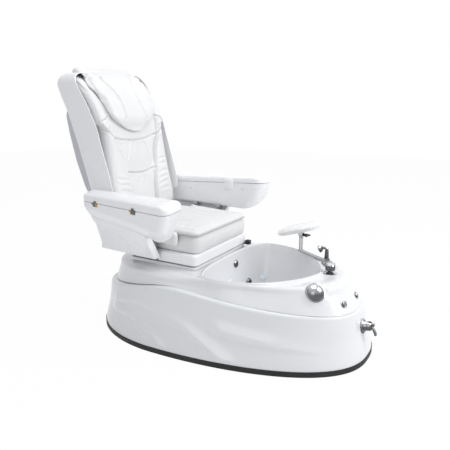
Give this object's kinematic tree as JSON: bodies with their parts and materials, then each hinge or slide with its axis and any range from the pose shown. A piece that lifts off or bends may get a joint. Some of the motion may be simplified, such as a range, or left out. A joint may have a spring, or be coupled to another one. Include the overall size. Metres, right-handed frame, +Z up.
{
  "type": "pedicure spa chair",
  "caption": "Pedicure spa chair: foot-bath base with jets and mixer, sliding padded seat, lidded storage armrests, reclining massage back and an adjustable footrest.",
  "frame": {"origin": "on the floor under the middle of the chair's outline", "axes": "+Z up, the chair faces -Y, the sitter's left is +X"},
  "size_m": [1.0962, 1.748, 1.4063],
  "materials": {
    "gelcoat": "gloss",
    "rear_cover": "satin",
    "trim_rubber": "matte",
    "frame_steel": "satin",
    "chrome": "polished",
    "screw_steel": "satin",
    "cap_plastic": "gloss",
    "black_plastic": "matte",
    "pipe_plastic": "matte",
    "lamp": "gloss",
    "leather": "satin",
    "pad_plastic": "gloss",
    "hinge_brass": "polished",
    "board": "raw"
  },
  "bodies": {
    "base": {"skirt": "gelcoat", "tub": "gelcoat", "base_trim": "trim_rubber", "base_frame": "frame_steel", "frame_posts": "frame_steel", "levelling_feet": "trim_rubber", "access_panel": "gelcoat", "panel_screws": "screw_steel", "seat_plinth": "gelcoat", "slide_rails": "frame_steel", "jet_pump": "black_plastic", "pipes": "pipe_plastic", "jets": "chrome", "basin_light": "lamp", "suction_cover": "chrome", "drain_body": "chrome", "control_box": "black_plastic", "mixer_body": "chrome", "deck_bezels": "chrome", "shower_socket": "chrome", "footrest_pivot": "chrome"},
    "plug": {"drain_plug": "chrome"},
    "mixer_turn": {"mixer_cap": "chrome"},
    "mixer_handle": {"mixer_lever": "chrome"},
    "dome": {"dome_knob": "chrome"},
    "tap": {"fluted_knob": "chrome"},
    "button_right": {"air_button_right": "chrome"},
    "button_left": {"air_button_left": "chrome"},
    "handset": {"hand_shower": "chrome"},
    "swing": {"footrest_arm": "chrome"},
    "post": {"footrest_post": "chrome"},
    "clamp": {"tilt_lever": "black_plastic"},
    "pad": {"footrest_pad": "pad_plastic"},
    "seat": {"seat_frame": "frame_steel", "seat_tray": "gelcoat", "seat_cushion": "leather", "seat_pad": "leather", "side_bolsters": "leather", "arm_body_right": "gelcoat", "arm_body_left": "gelcoat", "arm_panel_right": "gelcoat", "arm_panel_left": "gelcoat", "arm_screws": "cap_plastic", "arm_hinges": "hinge_brass"},
    "slide_release": {"slide_lever": "black_plastic"},
    "lid_right": {"arm_lid_right": "gelcoat", "lid_latch_right": "gelcoat", "lid_leaves_right": "hinge_brass"},
    "lid_left": {"arm_lid_left": "gelcoat", "lid_latch_left": "gelcoat", "lid_leaves_left": "hinge_brass"},
    "back": {"back_frame": "frame_steel", "back_board": "board", "back_shell": "gelcoat", "back_cover": "rear_cover", "back_cushion": "leather", "head_pillow": "leather", "massage_rails": "frame_steel"},
    "carriage": {"massage_carriage": "black_plastic"},
    "rollers": {"massage_rollers": "black_plastic"}
  },
  "joints": [
    {"name": "seat_slide", "type": "slide", "parent": "base", "child": "seat", "axis": [0, 1, 0], "range_m": [-0.13, 0.07]},
    {"name": "slide_release_turn", "type": "hinge", "parent": "seat", "child": "slide_release", "pos_m": [0.253, 0.106, 0.411], "axis": [0, 0, 1], "range_deg": [-5, 5]},
    {"name": "recline", "type": "hinge", "parent": "seat", "child": "back", "pos_m": [0, 0.504, 0.562], "axis": [-1, 0, 0], "range_deg": [-5, 30]},
    {"name": "massage_travel", "type": "slide", "parent": "back", "child": "carriage", "axis": [0, 0.2288, 0.9735], "range_m": [-0.04, 0.28]},
    {"name": "roller_turn", "type": "hinge", "parent": "carriage", "child": "rollers", "pos_m": [0, 0.6145, 0.84133], "axis": [1, 0, 0], "continuous": true},
    {"name": "lid_right_open", "type": "hinge", "parent": "seat", "child": "lid_right", "pos_m": [-0.48175, 0.326, 0.72475], "axis": [-0.2102, -0.9775, 0.02], "range_deg": [0, 95]},
    {"name": "lid_left_open", "type": "hinge", "parent": "seat", "child": "lid_left", "pos_m": [0.48175, 0.326, 0.72475], "axis": [-0.2102, 0.9775, -0.02], "range_deg": [0, 95]},
    {"name": "footrest_swing", "type": "hinge", "parent": "base", "child": "swing", "pos_m": [0.152, -0.573, 0.41], "axis": [0, 0, 1], "range_deg": [-5, 70]},
    {"name": "footrest_height", "type": "slide", "parent": "swing", "child": "post", "axis": [0, 0, 1], "range_m": [0, 0.06]},
    {"name": "footrest_tilt", "type": "hinge", "parent": "post", "child": "pad", "pos_m": [0.281, -0.364, 0.512], "axis": [1, 0, 0], "range_deg": [-15, 15]},
    {"name": "clamp_turn", "type": "hinge", "parent": "post", "child": "clamp", "pos_m": [0.281, -0.384, 0.502], "axis": [0, -1, 0], "range_deg": [-60, 10]},
    {"name": "dome_turn", "type": "hinge", "parent": "base", "child": "dome", "pos_m": [-0.1882, -0.6261, 0.3672], "axis": [-0.5997, -0.5298, 0.5997], "range_deg": [0, 90]},
    {"name": "plug_lift", "type": "slide", "parent": "base", "child": "plug", "axis": [0, 0, 1], "range_m": [0, 0.012]},
    {"name": "tap_turn", "type": "hinge", "parent": "base", "child": "tap", "pos_m": [0.046, -0.616, 0.391], "axis": [0, 0, 1], "range_deg": [0, 180]},
    {"name": "mixer_swivel", "type": "hinge", "parent": "base", "child": "mixer_turn", "pos_m": [0, -0.83252, 0.17165], "axis": [0, -0.9842, 0.1771], "range_deg": [-45, 45]},
    {"name": "mixer_lift", "type": "hinge", "parent": "mixer_turn", "child": "mixer_handle", "pos_m": [0, -0.84433, 0.17378], "axis": [-1, 0, 0], "range_deg": [0, 20]},
    {"name": "button_right_press", "type": "slide", "parent": "base", "child": "button_right", "axis": [0.3649, 0.8027, -0.4718], "range_m": [0, 0.004], "stiffness_N_per_m": 400},
    {"name": "button_left_press", "type": "slide", "parent": "base", "child": "button_left", "axis": [-0.053, 0.8811, -0.47], "range_m": [0, 0.004], "stiffness_N_per_m": 400},
    {"name": "handset_lift", "type": "slide", "parent": "base", "child": "handset", "axis": [0, 0, 1], "range_m": [0, 0.05]}
  ],
  "couplings": [
    {"joint": "plug_lift", "follows": "dome_turn", "m_per_rad": 0.0076394}
  ]
}
